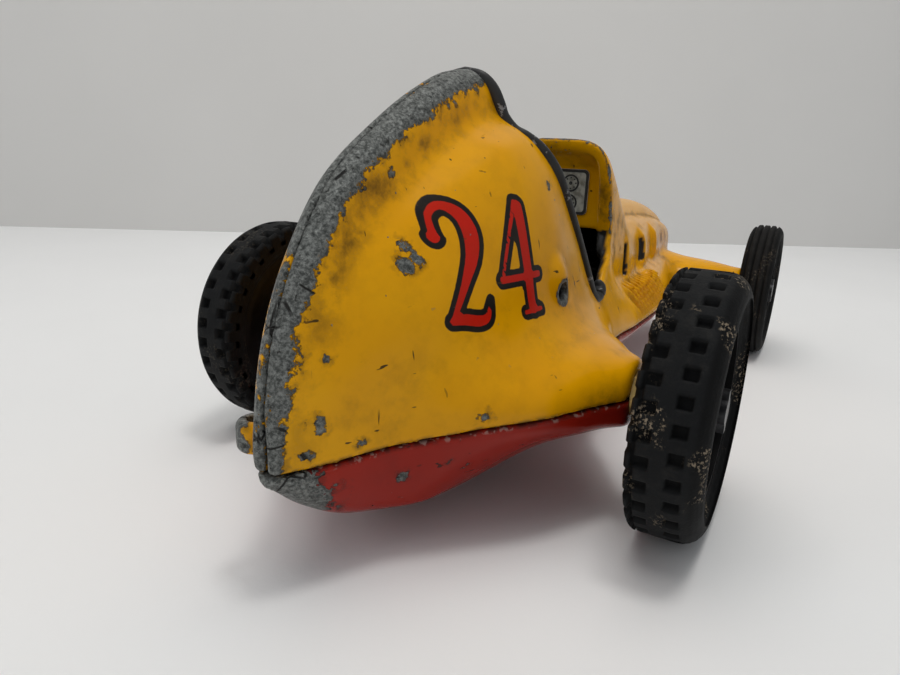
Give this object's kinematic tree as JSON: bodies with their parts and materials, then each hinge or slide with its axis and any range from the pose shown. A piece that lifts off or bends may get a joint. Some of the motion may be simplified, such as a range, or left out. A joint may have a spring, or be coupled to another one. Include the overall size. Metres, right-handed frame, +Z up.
{
  "type": "toy racing car",
  "caption": "Cast toy racing car with tall tail fin, open cockpit, red belly pan, rubber tyres and a geared flywheel friction motor on the rear axle.",
  "frame": {"origin": "middle of the car's footprint, on the ground under the tyres", "axes": "+X towards the nose, +Y towards the car's left, +Z up"},
  "size_m": [0.2518, 0.13, 0.0965],
  "materials": {
    "yellow_enamel": "deep yellow gloss enamel over cast aluminium, chipped to bare grey metal",
    "red_enamel": "red gloss enamel over cast aluminium, rubbed bare at the tail",
    "black_rubber_trim": "semi-gloss black painted rim",
    "printed_panel": "silver paper printed with black dials",
    "zinc_screw": "dull plated screw",
    "axle_steel": "drawn steel, slightly dull",
    "bush_brass": "turned brass, dull",
    "black_wheel": "black painted pressed disc",
    "tyre_rubber": "dry black rubber with dirt in the tread",
    "dark_metal": "darkened knock-off nut",
    "gear_brass": "cut brass",
    "flywheel_iron": "turned cast iron",
    "plate_steel": "pressed steel plate"
  },
  "bodies": {
    "chassis": {"body_shell_left": "yellow_enamel", "body_shell_right": "yellow_enamel", "belly_pan": "red_enamel", "tether_lug": "yellow_enamel", "cockpit_coaming": "black_rubber_trim", "instrument_panel": "printed_panel", "body_screws": "zinc_screw", "rear_bush_left": "bush_brass", "rear_bush_right": "bush_brass", "front_axle": "axle_steel", "front_washers": "axle_steel", "front_spinner_left": "dark_metal", "front_spinner_right": "dark_metal", "motor_plate_left": "plate_steel", "motor_plate_right": "plate_steel", "motor_pillars": "axle_steel", "motor_screws": "zinc_screw"},
    "rear_axle_set": {"rear_axle": "axle_steel", "rear_wheel_left": "black_wheel", "rear_wheel_right": "black_wheel", "rear_tyre_left": "tyre_rubber", "rear_tyre_right": "tyre_rubber", "rear_spinner_left": "dark_metal", "rear_spinner_right": "dark_metal", "axle_gear": "gear_brass"},
    "idler": {"idler_shaft": "axle_steel", "idler_pinion": "axle_steel", "idler_gear": "gear_brass"},
    "flywheel_set": {"flywheel_shaft": "axle_steel", "flywheel_pinion": "axle_steel", "flywheel": "flywheel_iron"},
    "front_wheel_set_left": {"front_wheel_left": "black_wheel", "front_tyre_left": "tyre_rubber"},
    "front_wheel_set_right": {"front_wheel_right": "black_wheel", "front_tyre_right": "tyre_rubber"}
  },
  "joints": [
    {"name": "rear_axle_spin", "type": "hinge", "parent": "chassis", "child": "rear_axle_set", "pos_m": [-0.0594, 0, 0.0285], "axis": [0, 1, 0], "continuous": true},
    {"name": "idler_spin", "type": "hinge", "parent": "chassis", "child": "idler", "pos_m": [-0.07489, 0, 0.022], "axis": [0, 1, 0], "continuous": true},
    {"name": "flywheel_spin", "type": "hinge", "parent": "chassis", "child": "flywheel_set", "pos_m": [-0.08892, 0, 0.0297], "axis": [0, 1, 0], "continuous": true},
    {"name": "front_wheel_left_spin", "type": "hinge", "parent": "chassis", "child": "front_wheel_set_left", "pos_m": [0.0994, 0, 0.0262], "axis": [0, 1, 0], "continuous": true},
    {"name": "front_wheel_right_spin", "type": "hinge", "parent": "chassis", "child": "front_wheel_set_right", "pos_m": [0.0994, 0, 0.0262], "axis": [0, 1, 0], "continuous": true}
  ],
  "couplings": [
    {"joint": "idler_spin", "follows": "rear_axle_spin", "ratio": -3.2},
    {"joint": "flywheel_spin", "follows": "rear_axle_spin", "ratio": 9.6}
  ]
}
